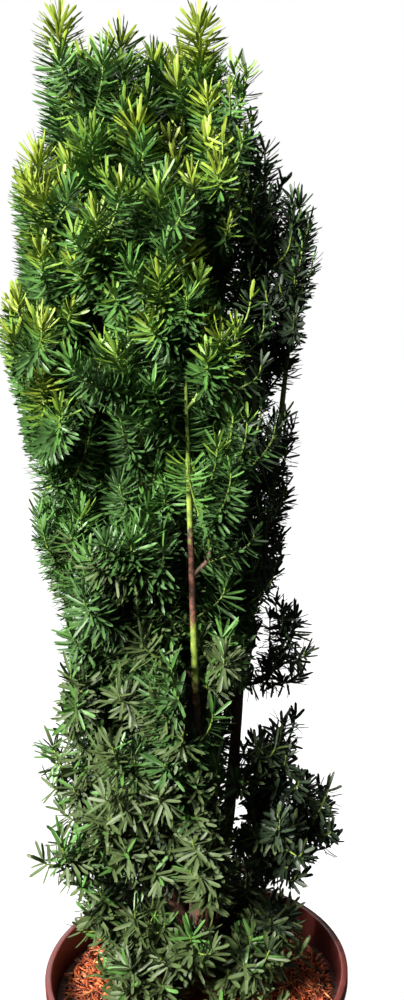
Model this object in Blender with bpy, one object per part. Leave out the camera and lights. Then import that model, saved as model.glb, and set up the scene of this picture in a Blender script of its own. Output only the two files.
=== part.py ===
"""English yew of the upright, columnar kind, about a metre tall with its pot.

A trunk stands on the bark mulch of a filled plastic pot and runs up through the foliage. Ten stems leave it,
or one another, low down and rise beside it. Masses of needle-bearing shoots stand on the tips of the trunk and
the stems, along their sides, and as a skirt round the foot. Metres, +Z up; the origin is the centre of the pot's
underside.
"""

import math
import random
from collections import namedtuple

import bmesh
import bpy
import numpy as np

# Driving dimensions of the pot
POT_HEIGHT = 0.210
RIM_RADIUS = 0.130
BASE_RADIUS = 0.094
WALL = 0.0022
LIP_HEIGHT = 0.010
LIP_WIDTH = 0.0035
POT_SIDES = 36
HOLE_COUNT = 8
HOLE_RADIUS = 0.007
HOLE_RING = 0.074
HOLE_SIDES = 8
FOOT_CHAMFER = 0.003
LIP_CHAMFER = 0.001
FLOOR_STEP = 0.002

# What fills it
MULCH_TOP = 0.190
MULCH_DEPTH = 0.014
MULCH_LUMP = 0.0035
MULCH_SIDES = 26
MULCH_RINGS = (0.102, 0.080, 0.056)
MULCH_EDGE_DROP = 0.003
SEAT_RADIUS = 0.034
COMPOST_STEP = 0.020
GAP = 0.0003
UP = np.array((0, 0, 1))
SHARP = math.radians(35)

# Limbs: how they leave their host and how finely they are cut
RISE = 0.16
TRUNK_SIDES = 12
STEM_SIDES = 7
LIMB_STEP = 0.05
TAPER = 0.8
FLARE = 0.008
FLARE_HEIGHT = 0.016
FLARE_LOBES = 5
FLARE_STEPS = (0, 0.004, 0.010, 0.020, 0.034)
LOBE = 0.045

# Shoots: a slim core that flat needles stand out of
SHOOT_SIDES = 4
RING_STEP = 0.0112
CORE_ROOT = 0.0021
CORE_TIP = 0.0008
THINNER = 0.8
NEEDLE = 0.023
NEEDLE_SPREAD = (0.85, 1.1)
NEEDLE_CUTS = (1, 0.75, 0.5)
NEEDLE_TESTS = np.array(((0.4,), (0.7,), (1,)))
NEEDLE_ANGLES = (62, 38)
TIP_ANGLE = 15
TWIST = 24
BARE_ROOT = 0.012
CLEAR = 0.0013

# Bends of shoots: pull on the line at the root and at the tip, as a share of its run, rise or length
SIDE_PULLS = (0.55, 0.45)
SIDE_LEAN_IN = 0.12
TOP_PULLS = (0.4, 0.3)
BRANCH_PULLS = (0.45, 0.3)
BRANCH_UPTURN = 0.25
LINE_POINTS = 40

# Masses: how shoots branch, how far they go and how far apart they keep
SHOOT_SPACING = 0.019
LIMB_SPACING = 0.004
MASS_RISE = 0.130
SIDE_PLACES = (0.08, 0.72)
SIDE_SHARES = (0.67, 0.28)
SIDE_LEAST = 0.040
SIDE_ANGLE = 44
SIDE_COUNT = 2
LEAST_RISE = 0.45
GOLDEN = 137.5
TURNS = (0, 25, -25, 50, -50, 80, -80, 115, -115)
SEED = 7

# Outline of the crown: height, left edge and right edge seen from the front; depth to each side
OUTLINE = (
    (0.20, -0.100, 0.100), (0.28, -0.098, 0.095), (0.32, -0.098, 0.048), (0.36, -0.110, 0.034),
    (0.44, -0.113, 0.030), (0.48, -0.092, 0.048), (0.54, -0.098, 0.066), (0.60, -0.107, 0.086),
    (0.70, -0.112, 0.092), (0.76, -0.126, 0.094), (0.80, -0.110, 0.108), (0.85, -0.108, 0.104),
    (0.90, -0.100, 0.076), (0.94, -0.093, 0.062), (1.00, -0.088, 0.040),
)
DEPTH = 0.112
SQUARENESS = 3

# One limb: host and height where it leaves it, tip, share of the way out that it makes at once, radii at both
# ends; masses up its side as height and azimuth, how far they reach out; length of the mass on its tip, how far
# that leans and its number of side shoots
Limb = namedtuple("Limb", "name host foot tip spread radii masses reach top lean sides")
LIMBS = (
    Limb("trunk", None, 0.190, (0.027, -0.005, 0.765), 0.2, (0.0115, 0.0026),
         ((0.46, 310), (0.59, 250)), 0.034, 0.195, (0.000, 0.005), 5),
    Limb("stem_right", "trunk", 0.206, (0.064, 0.022, 0.735), 0.42, (0.0066, 0.0024),
         ((0.53, -25), (0.62, 30)), 0.026, 0.141, (0.010, 0.0), 3),
    Limb("stem_left", "trunk", 0.222, (-0.074, 0.008, 0.780), 0.55, (0.0056, 0.0022),
         ((0.38, 150), (0.53, 250), (0.66, 238)), 0.034, 0.186, (-0.001, 0.0), 4),
    Limb("stem_front", "trunk", 0.212, (0.009, -0.077, 0.665), 0.85, (0.0045, 0.0020),
         ((0.30, 300), (0.385, 240), (0.50, 185), (0.58, 10)), 0.032, 0.139, (0.001, -0.003), 4),
    Limb("stem_front_left", "trunk", 0.262, (-0.028, -0.049, 0.725), 0.60, (0.0046, 0.0020),
         ((0.30, 225), (0.37, 195), (0.47, 250), (0.56, 345)), 0.036, 0.162, (0.009, 0.0), 5),
    Limb("stem_back", "trunk", 0.238, (0.018, 0.068, 0.735), 0.60, (0.0054, 0.0022),
         ((0.28, 60), (0.46, 100), (0.60, 50)), 0.034, 0.151, (0.0, 0.004), 4),
    Limb("stem_left_back", "trunk", 0.330, (-0.036, 0.030, 0.785), 0.60, (0.0048, 0.0021),
         ((0.55, 130),), 0.030, 0.170, (0.004, -0.008), 4),
    Limb("stem_outer_left", "stem_left", 0.330, (-0.092, -0.035, 0.725), 0.25, (0.0042, 0.0020),
         ((0.385, 190), (0.49, 205), (0.645, 185)), 0.033, 0.143, (0.002, 0.0), 4),
    Limb("stem_outer_right", "stem_right", 0.490, (0.084, 0.000, 0.705), 0.30, (0.0036, 0.0020),
         (), 0.024, 0.129, (0.014, 0.0), 4),
    Limb("stem_back_left", "stem_left_back", 0.400, (-0.060, 0.072, 0.710), 0.60, (0.0040, 0.0020),
         ((0.50, 140),), 0.030, 0.136, (-0.002, 0.004), 3),
    Limb("stem_back_right", "stem_back", 0.370, (0.064, 0.068, 0.660), 0.60, (0.0042, 0.0020),
         (), 0.030, 0.136, (0.006, 0.004), 3),
)

# Masses with a place of their own, with the low skirt: host, height where each leaves it, azimuth, reach, rise
# and number of side shoots
Mass = namedtuple("Mass", "name host root azimuth reach rise sides")
OWN_MASSES = (
    Mass("spray_right", "stem_right", 0.296, -8, 0.092, 0.076, 3),
    Mass("spray_right_upper", "stem_right", 0.318, -25, 0.054, 0.118, 3),
    Mass("twig_right", "stem_right", 0.458, -5, 0.048, 0.060, 0),
    Mass("low_left", "stem_left", 0.310, 188, 0.062, 0.112, 3),
    Mass("skirt_front", "stem_front", 0.240, 262, 0.046, 0.040, 2),
    Mass("skirt_front_left", "trunk", 0.207, 232, 0.088, 0.050, 3),
    Mass("skirt_left", "trunk", 0.212, 197, 0.084, 0.090, 3),
    Mass("skirt_front_right", "trunk", 0.207, 318, 0.080, 0.050, 3),
    Mass("skirt_right", "trunk", 0.212, 350, 0.078, 0.052, 2),
    Mass("skirt_back_right", "trunk", 0.216, 48, 0.080, 0.058, 3),
    Mass("skirt_back", "trunk", 0.210, 100, 0.080, 0.058, 3),
    Mass("skirt_back_left", "trunk", 0.216, 142, 0.080, 0.056, 3),
)
LEAST_HEIGHT = MULCH_TOP + MULCH_LUMP + 0.002

# Colours, linear, and how rough each finish is
TERRACOTTA = (0.165, 0.031, 0.018, 1)
SOIL = (0.030, 0.017, 0.010, 1)
BARK_CHIP = (0.330, 0.090, 0.028, 1)
BARK = (0.100, 0.042, 0.025, 1)
GREEN = (0.045, 0.135, 0.022, 1)


def make_material(name, colour, roughness):
    """One plain finish."""
    material = bpy.data.materials.new(name)
    material.use_nodes = True
    shader = material.node_tree.nodes["Principled BSDF"]
    shader.inputs["Base Color"].default_value = colour
    shader.inputs["Roughness"].default_value = roughness
    shader.inputs["Metallic"].default_value = 0.0
    return material


def skin(name, rings, faces_between, material, smooth=False):
    """One closed body over a row of rings of points, with a flat face over the first ring and the last."""
    shape = bmesh.new()
    rows = [[shape.verts.new(point) for point in ring] for ring in rings]
    shape.faces.new(rows[0][::-1])
    if faces_between is needle_faces:
        needle_cap(shape, rows[-1], len(rows) % 2)
    else:
        shape.faces.new(rows[-1])
    for low in range(len(rows) - 1):
        faces_between(shape, rows, low)
    bmesh.ops.recalc_face_normals(shape, faces=shape.faces)
    mesh = bpy.data.meshes.new(name)
    shape.to_mesh(mesh)
    shape.free()
    if smooth:
        mesh.shade_smooth()
        mesh.set_sharp_from_angle(angle=SHARP)
    mesh.materials.append(material)
    part = bpy.data.objects.new(name, mesh)
    bpy.context.scene.collection.objects.link(part)
    return part


def quads(shape, rows, low):
    """Plain four-sided faces between a ring and the next."""
    count = len(rows[low])
    for side in range(count):
        turn = (side + 1) % count
        shape.faces.new((rows[low][side], rows[low][turn], rows[low + 1][turn], rows[low + 1][side]))


def needle_faces(shape, rows, low):
    """Triangles whose long edge runs between core points, so that each needle point is a blade of four faces."""
    count = len(rows[low])
    for side in range(count):
        turn = (side + 1) % count
        a, b = rows[low][side], rows[low][turn]
        c, d = rows[low + 1][turn], rows[low + 1][side]
        if (low + side) % 2:
            shape.faces.new((a, b, c))
            shape.faces.new((a, c, d))
        else:
            shape.faces.new((a, b, d))
            shape.faces.new((b, c, d))


def needle_cap(shape, top, first):
    """The end of a shoot, folded between its last two needles."""
    shape.faces.new((top[first], top[first + 1], top[first + 2]))
    shape.faces.new((top[first], top[first + 2], top[first - 1]))


def combine(part, others, operation):
    """Joins the other objects to the part, or cuts them from it, and removes them."""
    tools = bpy.data.collections.new(part.name + "_tools")
    bpy.context.scene.collection.children.link(tools)
    for other in others:
        bpy.context.scene.collection.objects.unlink(other)
        tools.objects.link(other)
    boolean = part.modifiers.new("combine", "BOOLEAN")
    boolean.operation = operation
    boolean.operand_type = "COLLECTION"
    boolean.collection = tools
    boolean.solver = "EXACT"
    evaluated = part.evaluated_get(bpy.context.evaluated_depsgraph_get())
    mesh = bpy.data.meshes.new_from_object(evaluated)
    part.modifiers.clear()
    part.data = mesh
    for other in others:
        bpy.data.objects.remove(other)
    bpy.data.collections.remove(tools)


def circle(radius, height, sides):
    """A level ring of points."""
    angles = [2 * math.pi * side / sides for side in range(sides)]
    return [(radius * math.cos(a), radius * math.sin(a), height) for a in angles]


def unit(vector):
    """The same direction, one metre long."""
    return vector / np.linalg.norm(vector)


def frames(line, first=None):
    """Direction and two square directions at each point of a line, turning as little as they can."""
    heading = np.gradient(line, axis=0)
    if first is not None:
        heading[0] = first
    heading /= np.linalg.norm(heading, axis=1)[:, None]
    across = unit(np.cross(heading[0], (0.31, 0.95, 0.07)))
    result = []
    for forward in heading:
        across = unit(across - forward * across.dot(forward))
        result.append((forward, across, np.cross(forward, across)))
    return result


def evenly(line, step):
    """The line cut into equal lengths of about one step."""
    lengths = np.concatenate(([0], np.cumsum(np.linalg.norm(np.diff(line, axis=0), axis=1))))
    count = max(3, round(lengths[-1] / step))
    places = np.linspace(0, lengths[-1], count + 1)
    return np.column_stack([np.interp(places, lengths, line[:, axis]) for axis in range(3)])


def bezier(start, pull_start, pull_end, end):
    """A smooth line from start to end."""
    t = np.linspace(0, 1, LINE_POINTS)[:, None]
    return ((1 - t) ** 3 * start + 3 * (1 - t) ** 2 * t * pull_start
            + 3 * (1 - t) * t ** 2 * pull_end + t ** 3 * end)


def limb_line(limb, lines):
    """Centre line and radii of a limb: it spreads from its host first and then rises to its tip."""
    foot = point_at(lines[limb.host], limb.foot)[0] if limb.host else np.array((0, 0, limb.foot + GAP))
    rise = limb.tip[2] - foot[2]
    t = np.linspace(0, 1, round(rise / LIMB_STEP) + 1)
    if not limb.host:
        t = np.concatenate((np.array(FLARE_STEPS) / rise, t[1:]))
    out = limb.spread * (1 - np.exp(-t / RISE)) / (1 - math.exp(-1 / RISE)) + (1 - limb.spread) * t
    line = foot + (np.array(limb.tip) - foot) * np.column_stack((out, out, t))
    radii = limb.radii[0] + (limb.radii[1] - limb.radii[0]) * t ** TAPER
    if not limb.host:
        radii += FLARE * np.exp(-t * rise / FLARE_HEIGHT)
    return line, radii


def point_at(line, height):
    """Centre and radius of a limb at a height."""
    points, radii = line
    centre = np.array([np.interp(height, points[:, 2], points[:, axis]) for axis in range(3)])
    return centre, float(np.interp(height, points[:, 2], radii))


def limb_rings(line, is_trunk, extra):
    """Rings round a limb, widened by extra; the trunk's foot swells into lobes above its roots."""
    foot = line[0][0][2]
    sides = TRUNK_SIDES if is_trunk else STEM_SIDES
    rings = []
    for centre, radius, (_, across, aside) in zip(*line, frames(line[0])):
        ring = []
        for side in range(sides):
            angle = 2 * math.pi * side / sides
            reach = radius + extra
            if is_trunk:
                fade = math.exp((foot - centre[2]) / FLARE_HEIGHT)
                reach *= 1 + LOBE * fade * (math.cos(FLARE_LOBES * angle) - 1)
            ring.append(centre + reach * (math.cos(angle) * across + math.sin(angle) * aside))
        rings.append(ring)
    if is_trunk:
        rings[0] = [(x, y, foot) for x, y, _ in rings[0]]
    return rings


def make_limb(limb, lines, material):
    """One tapering limb, its foot cut to its host's surface with a hair's gap."""
    rings = limb_rings(lines[limb.name], limb.host is None, 0)
    part = skin(limb.name, rings, quads, material, smooth=True)
    if limb.host:
        host_rings = limb_rings(lines[limb.host], limb.host == "trunk", GAP)
        combine(part, [skin("cutter", host_rings, quads, material)], "DIFFERENCE")


def direction(azimuth):
    """A level direction from its azimuth in degrees."""
    return np.array((math.cos(math.radians(azimuth)), math.sin(math.radians(azimuth)), 0))


def side_line(host_line, root, azimuth, reach, rise):
    """Main shoot of a mass on a limb's side: square out of the bark, then up to its tip."""
    centre = point_at(host_line, root)[0]
    radius = point_at(host_line, root - CORE_ROOT)[1]
    along = unit(point_at(host_line, root + CORE_ROOT)[0] - centre)
    level = direction(azimuth)
    out = unit(level - along * level.dot(along))
    start = centre + out * (radius + GAP)
    tip = centre + level * reach + UP * rise
    run = reach - radius
    pull_end = tip - UP * rise * SIDE_PULLS[1] - level * run * SIDE_LEAN_IN
    return out, bezier(start, start + out * run * SIDE_PULLS[0], pull_end, tip)


def top_line(limb, lines):
    """Main shoot of the mass on a limb's tip: it carries on from the tip, a hair clear of it."""
    points = lines[limb.name][0]
    heading = unit(points[-1] - points[-2])
    start = points[-1] + heading * GAP
    end = start + np.array((*limb.lean, limb.top))
    pull_start = start + heading * limb.top * TOP_PULLS[0]
    return heading, bezier(start, pull_start, end - UP * limb.top * TOP_PULLS[1], end)


def side_shoot(line, place, azimuth, length):
    """A shoot that leaves a main shoot at a place from 0 to 1 and bends up."""
    index = int(place * (len(line) - 1))
    forward, across, aside = frames(line)[index]
    turn, tilt = math.radians(azimuth), math.radians(SIDE_ANGLE)
    heading = math.cos(tilt) * forward + math.sin(tilt) * (math.cos(turn) * across + math.sin(turn) * aside)
    start = line[index]
    end = start + length * unit(heading + UP * BRANCH_UPTURN)
    pull_start = start + heading * length * BRANCH_PULLS[0]
    return heading, bezier(start, pull_start, end - UP * length * BRANCH_PULLS[1], end)


def distance(points, lines, radii=None):
    """Distance from each point to the nearest of the lines, or to the bark round a line with radii."""
    start = np.vstack([line[:-1] for line in lines])
    step = np.vstack([line[1:] for line in lines]) - start
    away = points[:, None, :] - start[None, :, :]
    share = np.clip((away * step).sum(axis=2) / (step * step).sum(axis=1), 0, 1)
    gaps = np.linalg.norm(away - share[:, :, None] * step, axis=2)
    if radii is not None:
        gaps -= radii[:-1] + share * np.diff(radii)
    return gaps.min(axis=1)


def clear_of_limbs(points, lines, margin):
    """Whether the points stay outside every limb and above the mulch."""
    if points[:, 2].min() < LEAST_HEIGHT:
        return False
    return all(distance(points, [line], radii).min() > margin for line, radii in lines.values())


def in_outline(points):
    """Whether the points lie inside the crown's outline."""
    height, left, right = np.array(OUTLINE).T
    low = np.interp(points[:, 2], height, left)
    high = np.interp(points[:, 2], height, right)
    aside = np.abs(points[:, 0] - (low + high) / 2) / ((high - low) / 2)
    return (aside ** SQUARENESS + np.abs(points[:, 1] / DEPTH) ** SQUARENESS < 1).all()


def side_masses():
    """Every mass that stands on a limb's side, and whether it keeps to the crown's outline."""
    masses = [(own, False) for own in OWN_MASSES]
    for limb in LIMBS:
        for number, (root, azimuth) in enumerate(limb.masses, 1):
            name = f"{limb.name}_side_{number}"
            masses.append((Mass(name, limb.name, root, azimuth, limb.reach, MASS_RISE, SIDE_COUNT), True))
    return masses


def grow(lines):
    """Shoots of every mass, as heading at the root and line: the main ones first, then the side shoots."""
    plans = [(f"top_of_{limb.name}", limb.sides, True) for limb in LIMBS]
    shoots = {}
    for limb in LIMBS:
        heading, line = top_line(limb, lines)
        shoots[f"top_of_{limb.name}"] = [(heading, evenly(line, RING_STEP))]
    for mass, kept_in in side_masses():
        for turn in TURNS:
            heading, line = side_line(lines[mass.host], mass.root, mass.azimuth + turn, mass.reach, mass.rise)
            line = evenly(line, RING_STEP)
            others = [made[0][1] for made in shoots.values()]
            inside = not kept_in or in_outline(line)
            apart = distance(line[2:], others).min() > SHOOT_SPACING
            if inside and apart and clear_of_limbs(line[2:], lines, LIMB_SPACING):
                shoots[mass.name] = [(heading, line)]
                plans.append((mass.name, mass.sides, kept_in))
                break
    taken = [made[0][1] for made in shoots.values()]
    dice = random.Random(SEED)
    for name, sides, kept_in in plans:
        main = shoots[name][0][1]
        span = RING_STEP * (len(main) - 1)
        start = dice.uniform(0, 360)
        for number in range(sides):
            place = SIDE_PLACES[0] + (SIDE_PLACES[1] - SIDE_PLACES[0]) * (number + 0.5) / sides
            share = SIDE_SHARES[0] + (SIDE_SHARES[1] - SIDE_SHARES[0]) * place
            length = max(SIDE_LEAST, span * share)
            for turn in TURNS:
                heading, line = side_shoot(main, place, start + GOLDEN * number + turn, length)
                line = evenly(line, RING_STEP)
                others = [other for other in taken if other is not main]
                rises = line[-1][2] - line[0][2] > LEAST_RISE * length
                apart = distance(line[1:], others).min() > SHOOT_SPACING
                inside = not kept_in or in_outline(line)
                if rises and apart and inside and clear_of_limbs(line[1:], lines, LIMB_SPACING):
                    shoots[name].append((heading, line))
                    taken.append(line)
                    break
    return shoots, plans, taken


def shoot_rings(first, line, main, kept_in, taken, lines, dice):
    """Rings of a shoot: every second point is drawn out to a needle where there is room for one."""
    others = [other for other in taken if other is not line]
    count = len(line) - 1
    rings = []
    for index, (forward, across, aside) in enumerate(frames(line, first)):
        share = index / count
        core = (CORE_ROOT + (CORE_TIP - CORE_ROOT) * share ** 3) * (1 if main else THINNER)
        lean = math.radians(TIP_ANGLE if index == count else np.interp(share, (0, 1), NEEDLE_ANGLES))
        ring = []
        for side in range(SHOOT_SIDES):
            angle = 2 * math.pi * side / SHOOT_SIDES + math.radians(TWIST * index)
            outward = math.cos(angle) * across + math.sin(angle) * aside
            point = line[index] + outward * core
            length = NEEDLE * dice.uniform(*NEEDLE_SPREAD)
            if (index + side) % 2 == 0 and BARE_ROOT < index * RING_STEP:
                heading = math.cos(lean) * forward + math.sin(lean) * outward
                for cut in NEEDLE_CUTS:
                    blade = point + heading * length * cut * NEEDLE_TESTS
                    blade = np.vstack(((line[max(index - 1, 0):index + 2] + blade[-1]) / 2, blade))
                    apart = (distance(blade, others) > distance(blade, [line]) + CLEAR).all()
                    if apart and clear_of_limbs(blade, lines, CLEAR) and (not kept_in or in_outline(blade)):
                        point = blade[-1]
                        break
            ring.append(point)
        rings.append(ring)
    return rings


def make_mass(name, kept_in, shoots, taken, lines, material, dice):
    """One mass of foliage: a main shoot and its side shoots joined into one body."""
    parts = []
    for number, (first, line) in enumerate(shoots):
        rings = shoot_rings(first, line, number == 0, kept_in, taken, lines, dice)
        parts.append(skin(name if number == 0 else f"{name}_{number}", rings, needle_faces, material))
    if len(parts) > 1:
        combine(parts[0], parts[1:], "UNION")


def make_pot(material):
    """A thin tapering pot with a flat underside, a lip and a ring of drainage holes."""
    top_wall = RIM_RADIUS - LIP_WIDTH
    profile = (
        (BASE_RADIUS - FOOT_CHAMFER, 0), (BASE_RADIUS, FOOT_CHAMFER), (top_wall, POT_HEIGHT - LIP_HEIGHT),
        (RIM_RADIUS, POT_HEIGHT - LIP_HEIGHT + LIP_CHAMFER), (RIM_RADIUS, POT_HEIGHT - LIP_CHAMFER),
        (RIM_RADIUS - LIP_CHAMFER, POT_HEIGHT), (top_wall - WALL, POT_HEIGHT),
        (BASE_RADIUS - WALL, WALL + FLOOR_STEP), (BASE_RADIUS - WALL - FLOOR_STEP, WALL),
    )
    rings = [circle(radius, height, POT_SIDES) for radius, height in profile]
    pot = skin("pot", rings, quads, material, smooth=True)
    holes = []
    for number in range(HOLE_COUNT):
        angle = 2 * math.pi * number / HOLE_COUNT
        centre = np.array((HOLE_RING * math.cos(angle), HOLE_RING * math.sin(angle), 0))
        rings = [centre + circle(HOLE_RADIUS, height, HOLE_SIDES) for height in (-WALL, 2 * WALL)]
        holes.append(skin("cutter", rings, quads, material))
    combine(pot, holes, "DIFFERENCE")


def inner_radius(height):
    """Radius inside the pot's wall, a hair clear of it, at a height."""
    low = WALL + FLOOR_STEP
    share = (height - low) / (POT_HEIGHT - low)
    inside = BASE_RADIUS - WALL + (RIM_RADIUS - LIP_WIDTH - BASE_RADIUS) * share
    return (inside - GAP) * math.cos(math.pi / POT_SIDES)


def make_fill(soil, chips):
    """The compost, and the layer of bark on it with a level seat for the trunk and a lumpy surface round that."""
    under = MULCH_TOP - MULCH_DEPTH
    edge = inner_radius(under)
    base = BASE_RADIUS - WALL - 2 * FLOOR_STEP
    rings = [circle(base, WALL + GAP, POT_SIDES), circle(inner_radius(COMPOST_STEP), COMPOST_STEP, POT_SIDES)]
    rings.append(circle(edge, under - GAP, POT_SIDES))
    skin("compost", rings, quads, soil, smooth=True)
    dice = random.Random(SEED)
    rings = [circle(edge, under, MULCH_SIDES), circle(edge, MULCH_TOP - MULCH_EDGE_DROP, MULCH_SIDES)]
    for radius in MULCH_RINGS:
        ring = circle(radius, MULCH_TOP, MULCH_SIDES)
        rings.append([(x, y, z + dice.uniform(-1, 1) * MULCH_LUMP) for x, y, z in ring])
    rings.append(circle(SEAT_RADIUS, MULCH_TOP, MULCH_SIDES))
    skin("mulch", rings, quads, chips)


for thing in list(bpy.data.objects):
    bpy.data.objects.remove(thing)

make_pot(make_material("pot", TERRACOTTA, 0.45))
make_fill(make_material("compost", SOIL, 0.95), make_material("mulch", BARK_CHIP, 0.9))

limb_lines = {}
for this_limb in LIMBS:
    limb_lines[this_limb.name] = limb_line(this_limb, limb_lines)
for this_limb in LIMBS:
    make_limb(this_limb, limb_lines, make_material(this_limb.name, BARK, 0.8))

mass_shoots, mass_plans, all_shoots = grow(limb_lines)
needle_dice = random.Random(SEED)
for mass_name, _, in_crown in mass_plans:
    finish = make_material(mass_name, GREEN, 0.5)
    make_mass(mass_name, in_crown, mass_shoots[mass_name], all_shoots, limb_lines, finish, needle_dice)
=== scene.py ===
"""Looks of a potted English yew of the upright kind: its pot, bark mulch, stems, twigs and needles."""

import math
import random
from collections import namedtuple

import bpy
import numpy as np
from mathutils import Matrix, Vector, noise


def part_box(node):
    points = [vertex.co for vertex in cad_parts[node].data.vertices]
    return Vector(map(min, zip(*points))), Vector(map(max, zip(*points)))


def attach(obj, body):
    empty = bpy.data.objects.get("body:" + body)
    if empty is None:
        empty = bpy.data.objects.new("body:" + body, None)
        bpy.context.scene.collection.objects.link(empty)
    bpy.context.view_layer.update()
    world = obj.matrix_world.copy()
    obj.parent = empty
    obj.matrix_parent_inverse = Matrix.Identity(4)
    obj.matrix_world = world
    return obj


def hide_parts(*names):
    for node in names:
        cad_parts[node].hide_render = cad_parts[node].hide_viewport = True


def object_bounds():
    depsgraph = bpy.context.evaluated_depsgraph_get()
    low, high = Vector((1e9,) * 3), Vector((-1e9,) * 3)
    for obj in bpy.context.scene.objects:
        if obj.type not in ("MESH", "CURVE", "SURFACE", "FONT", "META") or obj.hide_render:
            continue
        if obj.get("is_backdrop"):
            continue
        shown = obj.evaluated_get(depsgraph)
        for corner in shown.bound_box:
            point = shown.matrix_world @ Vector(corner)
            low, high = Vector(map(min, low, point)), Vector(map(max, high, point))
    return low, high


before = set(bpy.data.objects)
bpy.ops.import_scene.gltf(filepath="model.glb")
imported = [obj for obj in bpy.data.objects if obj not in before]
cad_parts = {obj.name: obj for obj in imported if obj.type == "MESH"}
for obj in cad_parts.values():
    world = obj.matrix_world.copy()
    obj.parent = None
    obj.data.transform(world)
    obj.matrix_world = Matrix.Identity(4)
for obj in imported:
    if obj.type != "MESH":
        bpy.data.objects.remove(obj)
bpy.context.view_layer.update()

# The pot: a round nursery container, injection-moulded in terracotta-brown plastic with a wall of about two
# millimetres. The mould leaves a rolled lip, a stacking step under it, a flat foot and a ring of drainage
# holes.
POT_TURNS = 144
POT_RADIUS = 0.130
POT_HEIGHT = 0.210
POT_FOOT = 0.094
POT_WALL = 0.0022
LIP_HEIGHT = 0.010
LIP_WIDTH = 0.0035
STEP_HEIGHT = 0.168
STEP_WIDTH = 0.0008
ROUNDING = 0.0012
HOLES = 8
HOLE_RADIUS = 0.007
HOLE_RING = 0.074
HOLE_TURNS = 32
HOLE_PROFILE = ((0.0001, -0.004), (HOLE_RADIUS, -0.004), (HOLE_RADIUS, 0.008), (0.0001, 0.008))
CENTRE_RADIUS = 0.0005
FOOT_RISE = 0.0008
FOOT_INSETS = (0.010, 0.008)
SHARP_ANGLE = math.radians(50)
TERRACOTTA = (0.105, 0.018, 0.014, 1)
TERRACOTTA_FADED = (0.170, 0.036, 0.027, 1)


class Signal:
    """An output of a material's nodes; a sum, difference or product of signals adds a Math node for it."""

    def __init__(self, socket):
        self.socket = socket

    def node(self, kind, settings, sockets, output=0):
        """The output of a new node; its settings are set before its sockets take values or signals."""
        made = self.socket.id_data.nodes.new("ShaderNode" + kind)
        for name, value in settings.items():
            if name == "stops":
                for stop in value[2:]:
                    made.color_ramp.elements.new(stop[0])
                for element, (place, colour) in zip(made.color_ramp.elements, value):
                    element.position = place
                    element.color = colour
            else:
                setattr(made, name, value)
        for name, value in sockets.items():
            if isinstance(value, Signal):
                self.socket.id_data.links.new(value.socket, made.inputs[name])
            else:
                made.inputs[name].default_value = value
        return Signal(made.outputs[output])

    def reckoned(self, operation, first, second):
        """A Math node's answer for two signals or numbers."""
        return self.node("Math", {"operation": operation}, {0: first, 1: second})

    def __add__(self, other):
        return self.reckoned("ADD", self, other)

    def __radd__(self, other):
        return self.reckoned("ADD", other, self)

    def __sub__(self, other):
        return self.reckoned("SUBTRACT", self, other)

    def __rsub__(self, other):
        return self.reckoned("SUBTRACT", other, self)

    def __mul__(self, other):
        return self.reckoned("MULTIPLY", self, other)

    def __rmul__(self, other):
        return self.reckoned("MULTIPLY", other, self)

    def step(self, low, high):
        """Nought below low, one above high and smooth between them."""
        settings = {"interpolation_type": "SMOOTHSTEP"}
        return self.node("MapRange", settings, {"Value": self, "From Min": low, "From Max": high})

    def speckle(self, scale, detail=3.0):
        """Noise from this place, grains of about one over the scale."""
        return self.node("TexNoise", {}, {"Vector": self, "Scale": scale, "Detail": detail})

    def mixed(self, first, second):
        """The first colour where this signal is nought and the second where it is one."""
        return self.node("Mix", {"data_type": "RGBA"}, {"Factor": self, 6: first, 7: second}, output=2)


def new_material(name, roughness):
    """A material, its shader and the place in metres of each point of the surface."""
    material = bpy.data.materials.new(name)
    material.use_nodes = True
    shader = material.node_tree.nodes["Principled BSDF"]
    shader.inputs["Roughness"].default_value = roughness
    place = Signal(material.node_tree.nodes.new("ShaderNodeTexCoord").outputs["Object"])
    return material, shader, place


def feed(shader, socket, signal):
    """Joins a signal to one of the shader's own sockets."""
    shader.id_data.links.new(signal.socket, shader.inputs[socket])


def relief(shader, signal, depth):
    """Bumps of a given depth in metres where the signal is high."""
    feed(shader, "Normal", signal.node("Bump", {}, {"Height": signal, "Distance": depth, "Strength": 1.0}))


def piece(name, points, faces, materials, kinds=None, smooth=True):
    """A mesh object; every face has the same number of corners, and kinds give each its material."""
    faces = np.asarray(faces)
    mesh = bpy.data.meshes.new(name)
    mesh.vertices.add(len(points))
    mesh.vertices.foreach_set("co", np.asarray(points, np.float32).ravel())
    mesh.loops.add(faces.size)
    mesh.loops.foreach_set("vertex_index", faces.ravel().astype(np.int32))
    mesh.polygons.add(len(faces))
    mesh.polygons.foreach_set("loop_start", np.arange(0, faces.size, faces.shape[1], dtype=np.int32))
    if kinds is not None:
        mesh.polygons.foreach_set("material_index", np.asarray(kinds, np.int32))
    mesh.update(calc_edges=True)
    if smooth:
        mesh.shade_smooth()
    for material in materials:
        mesh.materials.append(material)
    made = bpy.data.objects.new(name, mesh)
    bpy.context.scene.collection.objects.link(made)
    return made


def ring_faces(rings, sides, closed=False):
    """Four-sided faces between rings that follow one another."""
    low = np.arange(rings if closed else rings - 1)[:, None] * sides
    high = (low + sides) % (rings * sides)
    side = np.arange(sides)[None, :]
    turn = (side + 1) % sides
    return np.stack((low + side, low + turn, high + turn, high + side), axis=-1).reshape(-1, 4)


def turned(profile, turns):
    """Points and faces of a closed profile of radius and height turned round the upright axis."""
    angles = np.linspace(0, 2 * math.pi, turns, endpoint=False)
    radius, height = np.array(profile).T[:, :, None]
    points = np.stack((radius * np.cos(angles), radius * np.sin(angles), height + 0 * angles), axis=-1)
    return points.reshape(-1, 3), ring_faces(len(profile), turns, closed=True)


def pot_radius(height):
    """Outer radius of the tapering wall at a height."""
    return POT_FOOT + (POT_RADIUS - LIP_WIDTH - POT_FOOT) * height / (POT_HEIGHT - LIP_HEIGHT)


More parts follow.
